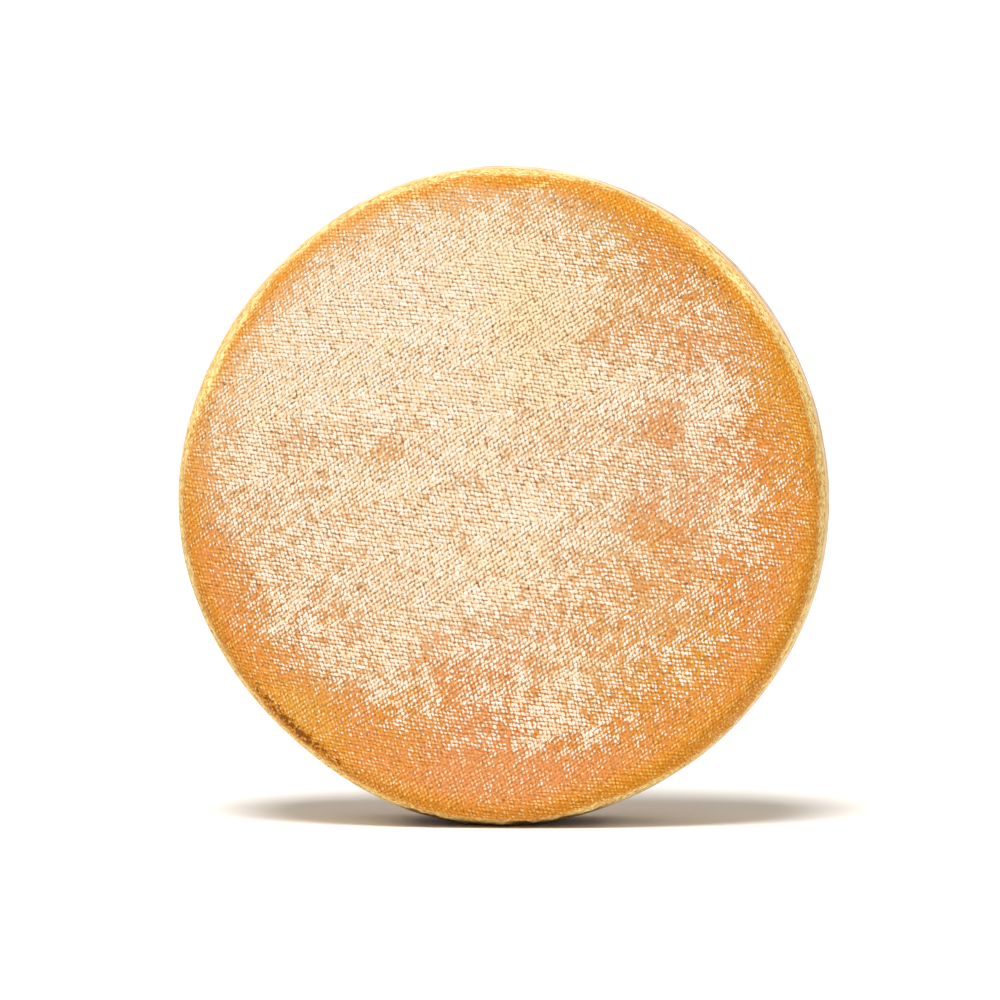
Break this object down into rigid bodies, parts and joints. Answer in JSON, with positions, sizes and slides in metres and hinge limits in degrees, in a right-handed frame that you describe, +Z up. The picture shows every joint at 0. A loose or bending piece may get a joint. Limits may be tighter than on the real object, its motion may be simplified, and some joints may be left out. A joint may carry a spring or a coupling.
{
  "type": "cheese wheel",
  "caption": "Round washed-rind cheese wheel standing on its rim: cloth-imprinted orange faces, rounded crumbly corners and a bulged side.",
  "frame": {"origin": "on the ground, at the middle of the small pressed foot under the wheel", "axes": "+Z up; the wheel's axis lies along Y and the face that is shown looks along -Y; +X to the right when looking at that face"},
  "size_m": [0.3, 0.075, 0.2991],
  "materials": {
    "washed_rind": "matte"
  },
  "bodies": {
    "root": {"wheel": "washed_rind"}
  },
  "joints": []
}
